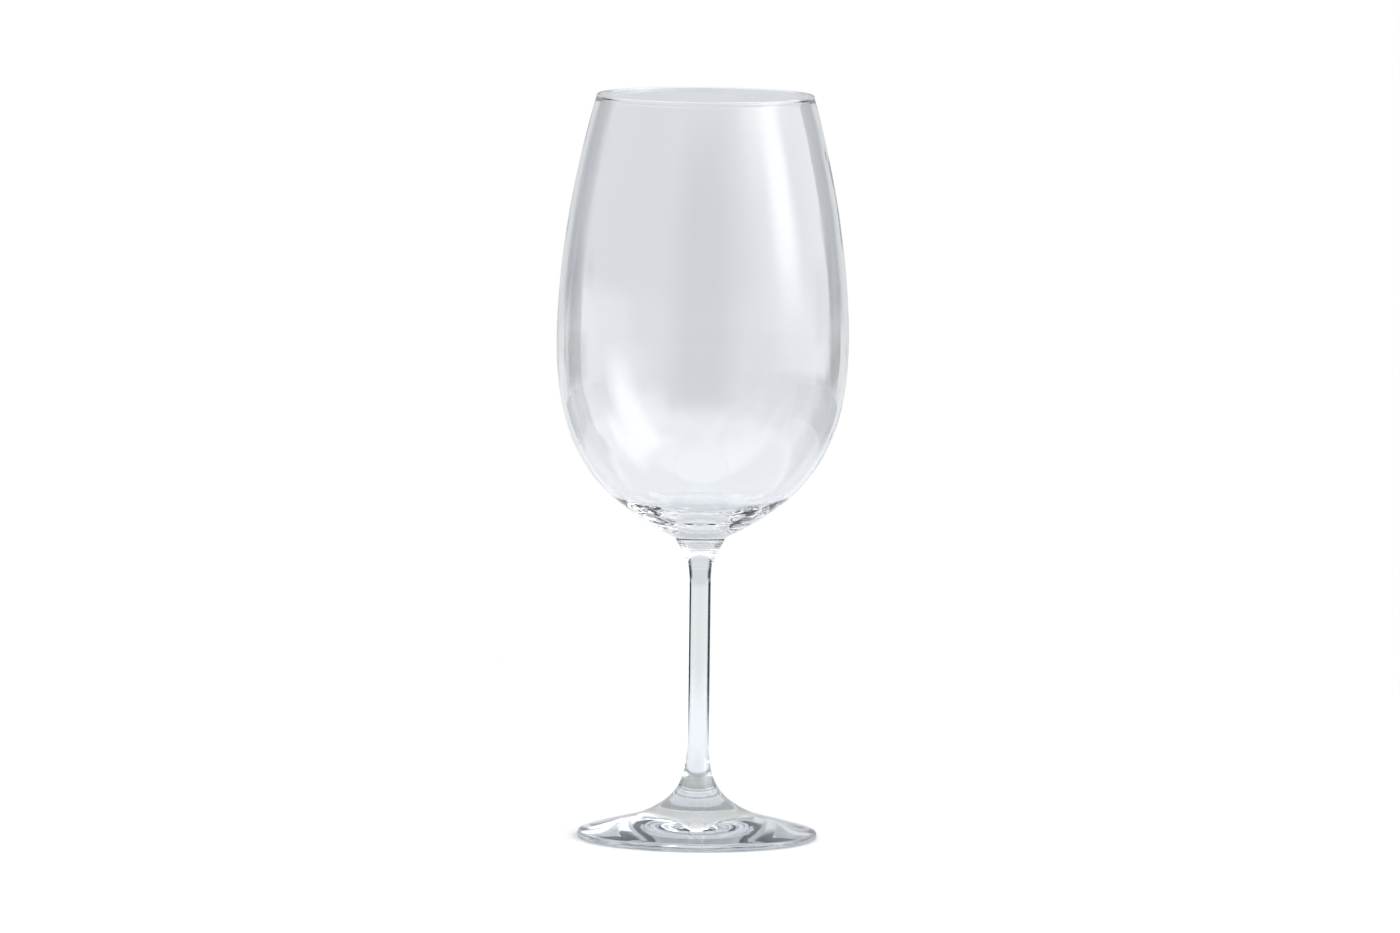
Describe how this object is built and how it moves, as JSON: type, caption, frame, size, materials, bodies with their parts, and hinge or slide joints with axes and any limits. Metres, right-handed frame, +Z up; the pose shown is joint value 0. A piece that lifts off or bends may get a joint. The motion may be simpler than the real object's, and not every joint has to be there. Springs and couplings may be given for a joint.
{
  "type": "wine glass",
  "caption": "Large stemmed red-wine glass: tall blown bowl that narrows to a rounded lip, slim drawn stem and wide spun foot on a standing ring.",
  "frame": {"origin": "on the table plane, on the axis of the glass, at the centre of the ring that it stands on", "axes": "+Z runs up the axis through the stem and out of the mouth of the bowl; the glass is round, so +X and +Y are alike"},
  "size_m": [0.0954, 0.0954, 0.244],
  "materials": {
    "bowl_glass": "clear blown soda-lime glass, fire-polished",
    "stem_glass": "clear drawn soda-lime glass, fire-polished",
    "foot_glass": "clear spun soda-lime glass, fire-polished"
  },
  "bodies": {
    "root": {"bowl": "bowl_glass", "stem": "stem_glass", "foot": "foot_glass"}
  },
  "joints": []
}
